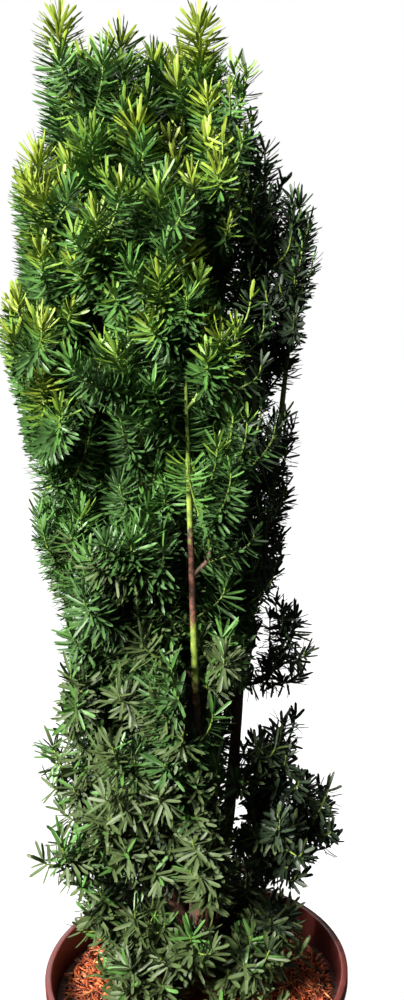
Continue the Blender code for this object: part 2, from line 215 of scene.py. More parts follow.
def corner(radius, height, start):
    """Four points of a rounded corner that turns a quarter circle from the start angle."""
    angles = [math.radians(start + 30 * step) for step in range(4)]
    return [(radius + ROUNDING * math.cos(a), height + ROUNDING * math.sin(a)) for a in angles]


lip_foot = POT_HEIGHT - LIP_HEIGHT
lip_inside = POT_RADIUS - LIP_WIDTH - POT_WALL
pot_profile = [(CENTRE_RADIUS, FOOT_RISE), (POT_FOOT - FOOT_INSETS[0], FOOT_RISE)]
pot_profile += [(POT_FOOT - FOOT_INSETS[1], 0.0)]
pot_profile += corner(POT_FOOT - ROUNDING, ROUNDING, -90)
pot_profile += [(pot_radius(height), height) for height in np.linspace(0.01, STEP_HEIGHT - 0.001, 12)]
pot_profile += [(pot_radius(STEP_HEIGHT) + STEP_WIDTH, STEP_HEIGHT)]
pot_profile += [(pot_radius(height) + STEP_WIDTH / 2, height) for height in (0.180, 0.190, lip_foot - 0.0005)]
pot_profile += corner(POT_RADIUS - ROUNDING, lip_foot + ROUNDING, -90)
pot_profile += corner(POT_RADIUS - ROUNDING, POT_HEIGHT - ROUNDING, 0)
pot_profile += corner(lip_inside + ROUNDING, POT_HEIGHT - ROUNDING, 90)
pot_profile += [(pot_radius(height) - POT_WALL, height) for height in np.linspace(lip_foot, 0.006, 12)]
pot_profile += [(POT_FOOT - POT_WALL - 0.003, POT_WALL), (CENTRE_RADIUS, POT_WALL)]
points, faces = turned(pot_profile, POT_TURNS)

plastic, shader, place = new_material("terracotta_plastic", 0.42)
dust = place.speckle(38, 5.0).step(0.42, 0.78)
feed(shader, "Base Color", dust.mixed(TERRACOTTA, TERRACOTTA_FADED))
feed(shader, "Roughness", 0.36 + 0.22 * dust)
grain = place.speckle(1400, 2.0)
relief(shader, grain + 2.0 * place.speckle(90, 2.0), 0.0001)

pot = piece("moulded_pot", points, faces[:, ::-1], [plastic])
cutters = []
for number in range(HOLES):
    angle = 2 * math.pi * number / HOLES
    points, faces = turned(HOLE_PROFILE, HOLE_TURNS)
    points += (HOLE_RING * math.cos(angle), HOLE_RING * math.sin(angle), 0)
    cutters.append(piece("hole", points, faces[:, ::-1], [plastic]))
for cutter in cutters:
    hole = pot.modifiers.new("hole", "BOOLEAN")
    hole.operation = "DIFFERENCE"
    hole.object = cutter
evaluated = pot.evaluated_get(bpy.context.evaluated_depsgraph_get())
drilled = bpy.data.meshes.new_from_object(evaluated)
pot.modifiers.clear()
pot.data = drilled
for cutter in cutters:
    bpy.data.objects.remove(cutter)
pot.data.shade_smooth()
pot.data.set_sharp_from_angle(angle=SHARP_ANGLE)
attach(pot, "root")
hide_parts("pot")

# The compost: dark moist peat and wood fibre that fills the pot under the mulch and shows only through the
# drainage holes. The solid of the frame has its shape already.
PEAT = (0.018, 0.010, 0.006, 1)
PEAT_DRY = (0.060, 0.036, 0.022, 1)

peat, shader, place = new_material("peat", 0.95)
crumb = place.speckle(260, 6.0)
feed(shader, "Base Color", crumb.step(0.4, 0.7).mixed(PEAT, PEAT_DRY))
relief(shader, crumb, 0.0015)
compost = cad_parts["compost"]
compost.data.materials.clear()
compost.data.materials.append(peat)

# The mulch: shredded conifer bark and coir laid two fingers deep on the compost, orange-red where it is fresh
# and brown where it is weathered. A lumpy bed carries loose chips, slivers and curled fibres.
MULCH_TOP = 0.190
MULCH_RADIUS = 0.1215
BED_RINGS = 56
BED_SIDES = 168
BED_LUMPS = ((26, 0.0030), (85, 0.0014), (260, 0.0006))
BED_SINK = 0.002
WALL_SINK = 0.004
CHIPS = 5200
FIBRES = 1300
CHIP_SIZES = ((0.006, 0.022), (0.0014, 0.0046), (0.0004, 0.0012))
FIBRE_LENGTHS = (0.010, 0.030)
FIBRE_RADII = (0.00018, 0.00050)
CHIP_COLOURS = (
    ("chip_orange", (0.680, 0.165, 0.042, 1), (0.480, 0.095, 0.026, 1)),
    ("chip_red_brown", (0.420, 0.080, 0.024, 1), (0.220, 0.042, 0.014, 1)),
    ("chip_straw", (0.780, 0.350, 0.130, 1), (0.580, 0.200, 0.065, 1)),
    ("chip_dark", (0.075, 0.022, 0.010, 1), (0.035, 0.012, 0.007, 1)),
)
CHIP_SHARES = (0.38, 0.34, 0.13, 0.15)
CHIP_MARGIN = 0.007
CHIP_LIFT = 0.0034
CHIP_PITCH = 0.34
CHIP_ROLL = 0.4
CHIP_WEAR = (0.6, 1.0)
CHIP_CORNERS = np.array((
    (-1, 0.3, 0), (-0.6, -1, -1), (-0.7, 0.8, 1), (0.5, -0.8, 1), (0.6, 1, -1), (1, -0.2, 0),
))
CHIP_FACES = np.array((
    (0, 1, 2), (1, 3, 2), (2, 3, 4), (3, 5, 4), (0, 4, 1), (0, 2, 4), (1, 4, 5), (1, 5, 3),
))
FIBRE_MARGIN = 0.012
FIBRE_SIDES = 3
FIBRE_GIRTHS = np.array((0.4, 1, 1.1, 1, 0.8, 0.3))
FIBRE_BEND = 45
FIBRE_LIFTS = (0.0004, 0.0055)
FIBRE_TILT = 0.16


def bed_height(x, y):
    """Height of the mulch's lumpy bed at a place, a little lower at the pot's wall."""
    lumps = sum(size * noise.noise(Vector((x * scale, y * scale, scale))) for scale, size in BED_LUMPS)
    return MULCH_TOP - BED_SINK + lumps - WALL_SINK * (math.hypot(x, y) / MULCH_RADIUS) ** 6


bed_points = []
for ring in range(BED_RINGS):
    radius = MULCH_RADIUS * (0.004 + 0.996 * ring / (BED_RINGS - 1))
    for side in range(BED_SIDES):
        angle = 2 * math.pi * side / BED_SIDES
        x, y = radius * math.cos(angle), radius * math.sin(angle)
        bed_points.append((x, y, bed_height(x, y)))
chip_materials = []
for name, fresh, weathered in CHIP_COLOURS:
    chip, shader, place = new_material(name, 0.85)
    fibre = place.speckle(700, 4.0)
    feed(shader, "Base Color", place.speckle(150, 3.0).step(0.35, 0.65).mixed(fresh, weathered))
    relief(shader, fibre, 0.0003)
    chip_materials.append(chip)
bed = piece("mulch_bed", bed_points, ring_faces(BED_RINGS, BED_SIDES), [chip_materials[3]])

dice = np.random.default_rng(11)
spots = np.sqrt(dice.uniform(0.0, 1.0, CHIPS)) * (MULCH_RADIUS - CHIP_MARGIN)
turns = dice.uniform(0, 2 * math.pi, CHIPS)
centres = np.array([(r * math.cos(a), r * math.sin(a)) for r, a in zip(spots, turns)])
heights = np.array([bed_height(x, y) for x, y in centres]) + dice.uniform(0.0, CHIP_LIFT, CHIPS)
sizes = [dice.uniform(low, high, CHIPS) * 0.5 for low, high in CHIP_SIZES]
yaw = dice.uniform(0, 2 * math.pi, CHIPS)
pitch = dice.normal(0, CHIP_PITCH, CHIPS)
roll = dice.normal(0, CHIP_ROLL, CHIPS)
along = np.stack((np.cos(yaw) * np.cos(pitch), np.sin(yaw) * np.cos(pitch), np.sin(pitch)), axis=1)
level = np.stack((-np.sin(yaw), np.cos(yaw), 0 * yaw), axis=1)
upright = np.cross(along, level)
across = level * np.cos(roll)[:, None] + upright * np.sin(roll)[:, None]
upright = np.cross(along, across)
wobble = CHIP_CORNERS[None] * dice.uniform(*CHIP_WEAR, (CHIPS, len(CHIP_CORNERS), 3))
corners = np.column_stack((centres, heights))[:, None]
for axis, (direction_of, half) in enumerate(zip((along, across, upright), sizes)):
    corners = corners + wobble[:, :, axis:axis + 1] * half[:, None, None] * direction_of[:, None]
chip_kinds = dice.choice(len(CHIP_COLOURS), CHIPS, p=CHIP_SHARES)
chip_faces = CHIP_FACES[None] + len(CHIP_CORNERS) * np.arange(CHIPS)[:, None, None]
chips = piece(
    "bark_chips", corners.reshape(-1, 3), chip_faces.reshape(-1, 3), chip_materials,
    np.repeat(chip_kinds, len(CHIP_FACES)), smooth=False)


def tube_points(line, radii, sides):
    """Rings of points round a line, turning as little as they can, as rings by sides by three."""
    heading = np.gradient(line, axis=0)
    heading /= np.linalg.norm(heading, axis=1)[:, None]
    across = np.cross(heading[0], (0.31, 0.95, 0.07))
    angles = np.linspace(0, 2 * math.pi, sides, endpoint=False)
    rings = []
    for centre, forward, radius in zip(line, heading, radii):
        across = across - forward * across.dot(forward)
        across /= np.linalg.norm(across)
        aside = np.cross(forward, across)
        rings.append(centre + radius * (np.outer(np.cos(angles), across) + np.outer(np.sin(angles), aside)))
    return np.array(rings)


fibre_points, fibre_faces, fibre_kinds = [], [], []
count = 0
fibre_rings = len(FIBRE_GIRTHS)
for number in range(FIBRES):
    reach = math.sqrt(dice.uniform()) * (MULCH_RADIUS - FIBRE_MARGIN)
    angle = dice.uniform(0, 2 * math.pi)
    length = dice.uniform(*FIBRE_LENGTHS)
    bend = dice.normal(0, FIBRE_BEND)
    x, y = reach * math.cos(angle), reach * math.sin(angle)
    heading = dice.uniform(0, 2 * math.pi)
    lift = dice.uniform(*FIBRE_LIFTS)
    tilt = dice.normal(0, FIBRE_TILT)
    step = length / (fibre_rings - 1)
    line = []
    for share in np.linspace(-0.5, 0.5, fibre_rings):
        line.append((x, y, bed_height(x, y) + lift + tilt * length * share))
        x += step * math.cos(heading)
        y += step * math.sin(heading)
        heading += bend * length / (fibre_rings - 1)
    line = np.array(line)
    if np.hypot(line[:, 0], line[:, 1]).max() < MULCH_RADIUS - 0.001:
        radius = dice.uniform(*FIBRE_RADII)
        fibre_points.append(tube_points(line, radius * FIBRE_GIRTHS, FIBRE_SIDES).reshape(-1, 3))
        fibre_faces.append(ring_faces(fibre_rings, FIBRE_SIDES) + count)
        fibre_kind = dice.choice(len(CHIP_COLOURS), p=CHIP_SHARES)
        fibre_kinds.append(np.full((fibre_rings - 1) * FIBRE_SIDES, fibre_kind))
        count += fibre_rings * FIBRE_SIDES
fibres = piece(
    "bark_fibres", np.vstack(fibre_points), np.vstack(fibre_faces), chip_materials,
    np.concatenate(fibre_kinds))
for part in (bed, chips, fibres):
    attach(part, "root")
    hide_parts("mulch")

# The trunk and its ten stems: one short plant that forks low down, so the stems rise close together. The bark
# is thin, red-brown and flaky on old wood, and smooth yellow-green on wood of the last few years.
RISE = 0.16
TRUNK_SIDES = 40
STEM_SIDES = 20
LIMB_STEP = 0.05
RELIEF_STEP = 0.0022
TAPER = 0.8
FLARE = 0.008
FLARE_HEIGHT = 0.016
FLARE_LOBES = 5
FLARE_STEPS = (0, 0.004, 0.010, 0.020, 0.034)
LOBE = 0.045
COLLAR = 0.30
COLLAR_HEIGHT = 0.010
FLAKE_GRAIN = (420, 110)
FLAKE_DEPTH = 0.07
FURROW_GRAIN = (900, 160)
FURROW_DEPTH = 0.05
SWELL_GRAIN = 45
SWELL_DEPTH = 0.05
FULL_RELIEF_GIRTH = 0.006
LEAST_RELIEF = 0.35
BURIED = 0.004
GAP = 0.0003
LINE_POINTS = 40
UP = np.array((0, 0, 1))
BARK_RED = (0.150, 0.050, 0.026, 1)
BARK_GREY = (0.085, 0.055, 0.040, 1)
BARK_DARK = (0.026, 0.015, 0.011, 1)
YOUNG_WOOD = (0.230, 0.300, 0.042, 1)
YOUNG_WOOD_SHADE = (0.120, 0.175, 0.030, 1)
YOUNG_FROM = (0.525, 0.565)
PEELED_FROM = (0.575, 0.605)
PEELED_TO = (0.655, 0.685)

Limb = namedtuple("Limb", "name host foot tip spread radii masses reach top lean sides")
LIMBS = (
    Limb("trunk", None, 0.190, (0.027, -0.005, 0.765), 0.2, (0.0115, 0.0026),
         ((0.46, 310), (0.59, 250)), 0.034, 0.195, (0.000, 0.005), 5),
    Limb("stem_right", "trunk", 0.206, (0.064, 0.022, 0.735), 0.42, (0.0066, 0.0024),
         ((0.53, -25), (0.62, 30)), 0.026, 0.141, (0.010, 0.0), 3),
    Limb("stem_left", "trunk", 0.222, (-0.074, 0.008, 0.780), 0.55, (0.0056, 0.0022),
         ((0.38, 150), (0.53, 250), (0.66, 238)), 0.034, 0.186, (-0.001, 0.0), 4),
    Limb("stem_front", "trunk", 0.212, (0.009, -0.077, 0.665), 0.85, (0.0045, 0.0020),
         ((0.30, 300), (0.385, 240), (0.50, 185), (0.58, 10)), 0.032, 0.139, (0.001, -0.003), 4),
    Limb("stem_front_left", "trunk", 0.262, (-0.028, -0.049, 0.725), 0.60, (0.0046, 0.0020),
         ((0.30, 225), (0.37, 195), (0.47, 250), (0.56, 345)), 0.036, 0.162, (0.009, 0.0), 5),
    Limb("stem_back", "trunk", 0.238, (0.018, 0.068, 0.735), 0.60, (0.0054, 0.0022),
         ((0.28, 60), (0.46, 100), (0.60, 50)), 0.034, 0.151, (0.0, 0.004), 4),
    Limb("stem_left_back", "trunk", 0.330, (-0.036, 0.030, 0.785), 0.60, (0.0048, 0.0021),
         ((0.55, 130),), 0.030, 0.170, (0.004, -0.008), 4),
    Limb("stem_outer_left", "stem_left", 0.330, (-0.092, -0.035, 0.725), 0.25, (0.0042, 0.0020),
         ((0.385, 190), (0.49, 205), (0.645, 185)), 0.033, 0.143, (0.002, 0.0), 4),
    Limb("stem_outer_right", "stem_right", 0.490, (0.084, 0.000, 0.705), 0.30, (0.0036, 0.0020),
         (), 0.024, 0.129, (0.014, 0.0), 4),
    Limb("stem_back_left", "stem_left_back", 0.400, (-0.060, 0.072, 0.710), 0.60, (0.0040, 0.0020),
         ((0.50, 140),), 0.030, 0.136, (-0.002, 0.004), 3),
    Limb("stem_back_right", "stem_back", 0.370, (0.064, 0.068, 0.660), 0.60, (0.0042, 0.0020),
         (), 0.030, 0.136, (0.006, 0.004), 3),
)


def unit(vector):
    """The same direction, one metre long."""
    return vector / np.linalg.norm(vector)


def evenly(line, step):
    """The line cut into equal lengths of about one step."""
    lengths = np.concatenate(([0], np.cumsum(np.linalg.norm(np.diff(line, axis=0), axis=1))))
    count = max(3, round(lengths[-1] / step))
    places = np.linspace(0, lengths[-1], count + 1)
    return np.column_stack([np.interp(places, lengths, line[:, axis]) for axis in range(3)])


def point_at(line, height):
    """Centre and radius of a limb at a height."""
    points, radii = line
    centre = np.array([np.interp(height, points[:, 2], points[:, axis]) for axis in range(3)])
    return centre, float(np.interp(height, points[:, 2], radii))


def limb_line(limb, lines):
    """Centre line and radii of a limb: it spreads from its host first and then rises to its tip."""
    foot = point_at(lines[limb.host], limb.foot)[0] if limb.host else np.array((0, 0, limb.foot + GAP))
    rise = limb.tip[2] - foot[2]
    t = np.linspace(0, 1, round(rise / LIMB_STEP) + 1)
    if not limb.host:
        t = np.concatenate((np.array(FLARE_STEPS) / rise, t[1:]))
    out = limb.spread * (1 - np.exp(-t / RISE)) / (1 - math.exp(-1 / RISE)) + (1 - limb.spread) * t
    line = foot + (np.array(limb.tip) - foot) * np.column_stack((out, out, t))
    radii = limb.radii[0] + (limb.radii[1] - limb.radii[0]) * t ** TAPER
    if not limb.host:
        radii += FLARE * np.exp(-t * rise / FLARE_HEIGHT)
    return line, radii


def bark_rings(limb, line, radii):
    """The limb's surface with the flakes, furrows and swellings of its bark."""
    sides = TRUNK_SIDES if limb.host is None else STEM_SIDES
    fine = evenly(line, RELIEF_STEP)
    girth = np.interp(fine[:, 2], line[:, 2], radii)
    rings = tube_points(fine, girth, sides)
    above = fine[:, 2] - fine[0, 2]
    angles = np.linspace(0, 2 * math.pi, sides, endpoint=False)
    if limb.host is None:
        lobes = LOBE * np.exp(-above / FLARE_HEIGHT)[:, None] * (np.cos(FLARE_LOBES * angles) - 1)
    else:
        lobes = (COLLAR * np.exp(-above / COLLAR_HEIGHT))[:, None] + 0 * angles
    relief_of = np.zeros(rings.shape[:2])
    for index, ring in enumerate(rings):
        for side, (x, y, z) in enumerate(ring):
            around, upward = FLAKE_GRAIN
            flake = noise.noise(Vector((x * around, y * around, z * upward)))
            around, upward = FURROW_GRAIN
            furrow = abs(noise.noise(Vector((x * around, y * around, z * upward + 7))))
            relief_of[index, side] = FLAKE_DEPTH * max(0.0, flake) - FURROW_DEPTH * furrow
    swell = [SWELL_DEPTH * noise.noise(Vector((0, 0, z * SWELL_GRAIN))) for z in fine[:, 2]]
    depth = np.clip(girth / FULL_RELIEF_GIRTH, LEAST_RELIEF, 1)
    grown = 1 + lobes + relief_of * depth[:, None] + np.array(swell)[:, None]
    return fine[:, None] + (rings - fine[:, None]) * grown[:, :, None]


bark, shader, place = new_material("yew_bark", 0.72)
height = place.node("SeparateXYZ", {}, {"Vector": place}, output=2)
flake = place.speckle(330, 5.0)
stretch = place.speckle(17, 1.0)
old_wood = flake.step(0.36, 0.62).mixed(BARK_DARK, BARK_RED)
old_wood = place.speckle(60, 2.0).step(0.50, 0.75).mixed(old_wood, BARK_GREY)
young_wood = place.speckle(240, 3.0).step(0.3, 0.7).mixed(YOUNG_WOOD, YOUNG_WOOD_SHADE)
drift = height + 0.05 * stretch + 0.05 * flake
peeled = drift.step(*PEELED_FROM) - drift.step(*PEELED_TO)
greenness = (drift.step(*YOUNG_FROM) - peeled + 0.8 * (stretch - 0.5)).step(0.2, 0.7)
feed(shader, "Base Color", greenness.mixed(old_wood, young_wood))
feed(shader, "Roughness", 0.78 - 0.28 * greenness)
relief(shader, flake, 0.0005)

limb_lines = {}
for limb in LIMBS:
    limb_lines[limb.name] = limb_line(limb, limb_lines)
    rings = bark_rings(limb, *limb_lines[limb.name])
    if limb.host is None:
        rings[0, :, 2] = limb.foot - BURIED
    made = piece("bark_of_" + limb.name, rings.reshape(-1, 3), ring_faces(*rings.shape[:2]), [bark])
    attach(made, "root")
    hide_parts(limb.name)

# The shoots: each mass of foliage is a main shoot that leaves a limb, with side shoots at even turns round
# it, and finer twigs on those and on the bare stems. They grow by one seeded rule, keep apart and stay inside
# the crown's outline.
RING_STEP = 0.0112
CORE_ROOT = 0.0021
SIDE_PULLS = (0.55, 0.45)
SIDE_LEAN_IN = 0.12
TOP_PULLS = (0.4, 0.3)
BRANCH_PULLS = (0.45, 0.3)
BRANCH_UPTURN = 0.25
SHOOT_SPACING = 0.019
LIMB_SPACING = 0.004
MASS_RISE = 0.130
SIDE_PLACES = (0.08, 0.72)
SIDE_SHARES = (0.67, 0.28)
SIDE_LEAST = 0.040
SIDE_ANGLE = 44
SIDE_COUNT = 2
LEAST_RISE = 0.45
GOLDEN = 137.5
TURNS = (0, 25, -25, 50, -50, 80, -80, 115, -115)
SEED = 7

# Height, left edge and right edge of the crown.
OUTLINE = (
    (0.20, -0.100, 0.100), (0.28, -0.098, 0.095), (0.32, -0.098, 0.048), (0.36, -0.110, 0.034),
    (0.44, -0.113, 0.030), (0.48, -0.092, 0.048), (0.54, -0.098, 0.066), (0.60, -0.107, 0.086),
    (0.70, -0.112, 0.092), (0.76, -0.126, 0.094), (0.80, -0.110, 0.108), (0.85, -0.108, 0.104),
    (0.90, -0.100, 0.076), (0.94, -0.093, 0.062), (1.00, -0.088, 0.040),
)
DEPTH = 0.112
SQUARENESS = 3

Mass = namedtuple("Mass", "name host root azimuth reach rise sides")
OWN_MASSES = (
    Mass("spray_right", "stem_right", 0.296, -8, 0.092, 0.076, 3),
    Mass("spray_right_upper", "stem_right", 0.318, -25, 0.054, 0.118, 3),
    Mass("twig_right", "stem_right", 0.458, -5, 0.048, 0.060, 0),
    Mass("low_left", "stem_left", 0.310, 188, 0.062, 0.112, 3),
    Mass("skirt_front", "stem_front", 0.240, 262, 0.046, 0.040, 2),
    Mass("skirt_front_left", "trunk", 0.207, 232, 0.088, 0.050, 3),
    Mass("skirt_left", "trunk", 0.212, 197, 0.084, 0.090, 3),
    Mass("skirt_front_right", "trunk", 0.207, 318, 0.080, 0.050, 3),
    Mass("skirt_right", "trunk", 0.212, 350, 0.078, 0.052, 2),
    Mass("skirt_back_right", "trunk", 0.216, 48, 0.080, 0.058, 3),
    Mass("skirt_back", "trunk", 0.210, 100, 0.080, 0.058, 3),
    Mass("skirt_back_left", "trunk", 0.216, 142, 0.080, 0.056, 3),
)
LEAST_HEIGHT = MULCH_TOP + 0.0055

# The finer twigs. A pair of rows gives heights and the value at each of them.
FINE_STEP = 0.013
FINE_PLACES = (0.10, 0.72)
FINE_LENGTHS = (0.022, 0.046)
FINE_SHORTENING = (1.15, 0.5)
FINE_STRETCH = ((0.35, 0.60), (1.0, 1.30))
LEFT_STRETCH = ((0.58, 0.64, 0.72, 0.78), (1.0, 1.55, 1.55, 1.0))
LEFT_SIDE = -0.020
FINE_ANGLES = ((0.35, 0.60), (52, 35))
FINE_TOP = 0.965
PLAIN_TOP = ("top_of_stem_left", 0.86)
FINE_SPACING = 0.0088
FINE_CLEARANCE = 0.002
FINE_MARGIN = 0.006
FINE_INSET = ((0.86, 0.92), (0.0, 0.014))
BOX_SLACK = 0.001
LIMB_TWIGS = (0.37, 0.80)
TIP_GROWTH = 0.009

# The front stem shows between these heights, and nothing grows before it there.
OPEN_STEM = "stem_front"
OPEN_LEVELS = (0.46, 0.72)
OPEN_WIDTH = 0.006


def bezier(start, pull_start, pull_end, end):
    """A smooth line from start to end."""
    t = np.linspace(0, 1, LINE_POINTS)[:, None]
    return ((1 - t) ** 3 * start + 3 * (1 - t) ** 2 * t * pull_start
            + 3 * (1 - t) * t ** 2 * pull_end + t ** 3 * end)


def direction(azimuth):
    """A level direction from its azimuth in degrees."""
    return np.array((math.cos(math.radians(azimuth)), math.sin(math.radians(azimuth)), 0))


def frames(line):
    """Direction and two square directions at each point of a line, turning as little as they can."""
    heading = np.gradient(line, axis=0)
    heading /= np.linalg.norm(heading, axis=1)[:, None]
    across = unit(np.cross(heading[0], (0.31, 0.95, 0.07)))
    result = []
    for forward in heading:
        across = unit(across - forward * across.dot(forward))
        result.append((forward, across, np.cross(forward, across)))
    return result


def side_line(host_line, root, azimuth, reach, rise):
    """Main shoot of a mass on a limb's side: square out of the bark, then up to its tip."""
    centre = point_at(host_line, root)[0]
    radius = point_at(host_line, root - CORE_ROOT)[1]
    along = unit(point_at(host_line, root + CORE_ROOT)[0] - centre)
    level = direction(azimuth)
    out = unit(level - along * level.dot(along))
    start = centre + out * (radius + GAP)
    tip = centre + level * reach + UP * rise
    run = reach - radius
    pull_end = tip - UP * rise * SIDE_PULLS[1] - level * run * SIDE_LEAN_IN
    return bezier(start, start + out * run * SIDE_PULLS[0], pull_end, tip)


def top_line(limb, lines):
    """Main shoot of the mass on a limb's tip: it carries on from the tip."""
    points = lines[limb.name][0]
    heading = unit(points[-1] - points[-2])
    start = points[-1] + heading * GAP
    end = start + np.array((*limb.lean, limb.top))
    pull_start = start + heading * limb.top * TOP_PULLS[0]
    return bezier(start, pull_start, end - UP * limb.top * TOP_PULLS[1], end)


def side_shoot(line, place, azimuth, length, angle=SIDE_ANGLE):
    """A shoot that leaves another at a place from 0 to 1 and bends up."""
    index = int(place * (len(line) - 1))
    forward, across, aside = frames(line)[index]
    turn, tilt = math.radians(azimuth), math.radians(angle)
    heading = math.cos(tilt) * forward + math.sin(tilt) * (math.cos(turn) * across + math.sin(turn) * aside)
    start = line[index]
    end = start + length * unit(heading + UP * BRANCH_UPTURN)
    pull_start = start + heading * length * BRANCH_PULLS[0]
    return bezier(start, pull_start, end - UP * length * BRANCH_PULLS[1], end)


def distance(points, lines, radii=None):
    """Distance from each point to the nearest of the lines, or to the bark round a line with radii."""
    start = np.vstack([line[:-1] for line in lines])
    step = np.vstack([line[1:] for line in lines]) - start
    away = points[:, None, :] - start[None, :, :]
    share = np.clip((away * step).sum(axis=2) / (step * step).sum(axis=1), 0, 1)
    gaps = np.linalg.norm(away - share[:, :, None] * step, axis=2)
    if radii is not None:
        gaps -= radii[:-1] + share * np.diff(radii)
    return gaps.min(axis=1)


def limb_clearance(points):
    """Distance from each point to the nearest bark."""
    return np.min([distance(points, [line], radii) for line, radii in limb_lines.values()], axis=0)


def clear_of_limbs(points, margin):
    """Whether the points stay outside every limb and above the mulch."""
    return points[:, 2].min() > LEAST_HEIGHT and limb_clearance(points).min() > margin


def inside_outline(points, margin=0.0):
    """Which of the points lie inside the crown's outline, or outside it by no more than a margin."""
    height, left, right = np.array(OUTLINE).T
    low = np.interp(points[:, 2], height, left) - margin
    high = np.interp(points[:, 2], height, right) + margin
    aside = np.abs(points[:, 0] - (low + high) / 2) / ((high - low) / 2)
    return aside ** SQUARENESS + np.abs(points[:, 1] / (DEPTH + margin)) ** SQUARENESS < 1


def before_stem(points):
    """Which of the points stand before the open part of the front stem."""
    stem = limb_lines[OPEN_STEM][0]
    level = points[:, 2]
    across = points[:, 0] - np.interp(level, stem[:, 2], stem[:, 0])
    ahead = points[:, 1] < np.interp(level, stem[:, 2], stem[:, 1])
    return ahead & (np.abs(across) < OPEN_WIDTH) & (OPEN_LEVELS[0] < level) & (level < OPEN_LEVELS[1])


side_masses = [(own, False) for own in OWN_MASSES]
for limb in LIMBS:
    for number, (root, azimuth) in enumerate(limb.masses, 1):
        name = f"{limb.name}_side_{number}"
        side_masses.append((Mass(name, limb.name, root, azimuth, limb.reach, MASS_RISE, SIDE_COUNT), True))

Shoot = namedtuple("Shoot", "mass order line kept_in")
plans, shoots = [], []
for limb in LIMBS:
    name = "top_of_" + limb.name
    plans.append((name, limb.sides, True))
    shoots.append(Shoot(name, 0, evenly(top_line(limb, limb_lines), RING_STEP), True))
for mass, kept_in in side_masses:
    for turn in TURNS:
        line = side_line(limb_lines[mass.host], mass.root, mass.azimuth + turn, mass.reach, mass.rise)
        line = evenly(line, RING_STEP)
        inside = not kept_in or inside_outline(line).all()
        apart = distance(line[2:], [shoot.line for shoot in shoots]).min() > SHOOT_SPACING
        if inside and apart and clear_of_limbs(line[2:], LIMB_SPACING):
            shoots.append(Shoot(mass.name, 0, line, kept_in))
            plans.append((mass.name, mass.sides, kept_in))
            break
main_lines = {shoot.mass: shoot.line for shoot in shoots}
side_dice = random.Random(SEED)
for name, sides, kept_in in plans:
    main = main_lines[name]
    span = RING_STEP * (len(main) - 1)
    start = side_dice.uniform(0, 360)
    for number in range(sides):
        place = SIDE_PLACES[0] + (SIDE_PLACES[1] - SIDE_PLACES[0]) * (number + 0.5) / sides
        share = SIDE_SHARES[0] + (SIDE_SHARES[1] - SIDE_SHARES[0]) * place
        length = max(SIDE_LEAST, span * share)
        for turn in TURNS:
            line = evenly(side_shoot(main, place, start + GOLDEN * number + turn, length), RING_STEP)
            others = [shoot.line for shoot in shoots if shoot.line is not main]
            rises = line[-1][2] - line[0][2] > LEAST_RISE * length
            apart = distance(line[1:], others).min() > SHOOT_SPACING
            inside = not kept_in or inside_outline(line).all()
            if rises and apart and inside and clear_of_limbs(line[1:], LIMB_SPACING):
                shoots.append(Shoot(name, 1, line, kept_in))
                break

bare_stems = []
for limb in LIMBS:
    line = evenly(limb_lines[limb.name][0], RING_STEP)
    line = line[(line[:, 2] > LIMB_TWIGS[0]) & (line[:, 2] < LIMB_TWIGS[1])]
    if limb.name != OPEN_STEM and len(line) > 3:
        bare_stems.append(Shoot(limb.name, 0, line, True))
fine_dice = random.Random(SEED + 1)
for host in list(shoots) + bare_stems:
    low, high = (np.array(corner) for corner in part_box(host.mass))
    span = RING_STEP * (len(host.line) - 1)
    start = fine_dice.uniform(0, 360)
    count = round(span / FINE_STEP)
    for number in range(count):
        place = FINE_PLACES[0] + FINE_PLACES[1] * (number + 0.5) / count
        length = fine_dice.uniform(*FINE_LENGTHS) * (FINE_SHORTENING[0] - FINE_SHORTENING[1] * place)
        sideways, _, level = host.line[int(place * (len(host.line) - 1))]
        length *= np.interp(level, *FINE_STRETCH)
        if sideways < LEFT_SIDE:
            length *= np.interp(level, *LEFT_STRETCH)
        angle = np.interp(level, *FINE_ANGLES)
        inset = np.interp(level, *FINE_INSET)
        highest = PLAIN_TOP[1] if host.mass == PLAIN_TOP[0] else FINE_TOP
        others = [shoot.line for shoot in shoots if shoot.line is not host.line]
        for turn in TURNS:
            line = side_shoot(host.line, place, start + GOLDEN * number + turn, length, angle)
            line = evenly(line, RING_STEP / 2)
            reach = line[-1] + FINE_MARGIN * unit(line[-1] - line[-2])
            if host.kept_in:
                inside = inside_outline(reach[None], -inset).all()
            else:
                inside = (reach > low - BOX_SLACK).all() and (reach < high + BOX_SLACK).all()
            inside = inside and reach[2] < highest and not before_stem(line).any()
            apart = distance(line[2:], others).min() > FINE_SPACING
            if inside and apart and clear_of_limbs(line[3:], FINE_CLEARANCE):
                shoots.append(Shoot(host.mass, 2, line, host.kept_in))
                break
for number, shoot in enumerate(shoots[:len(LIMBS)]):
    tip = shoot.line[-1] + TIP_GROWTH * unit(shoot.line[-1] - shoot.line[-2])
    shoots[number] = shoot._replace(line=np.vstack((shoot.line, tip)))

# The twigs: thin round wood under the needles, green where it grew in the last years and brown at the foot of
# each main shoot. Each twig tapers to a thin tip that the needles close over.
TWIG_SIDES = 6
TWIG_STEP = 0.005
TWIG_ROOTS = (0.0021, 0.0015, 0.0011)
TWIG_TIP = 0.0006
TWIG_TAPER = 0.8
TWIG_SUNK = 0.4
BROWN_SHARE = 0.3
TWIG_GREEN = (0.200, 0.290, 0.040, 1)
TWIG_GREEN_SHADE = (0.080, 0.130, 0.022, 1)
TWIG_BROWN = (0.120, 0.055, 0.025, 1)

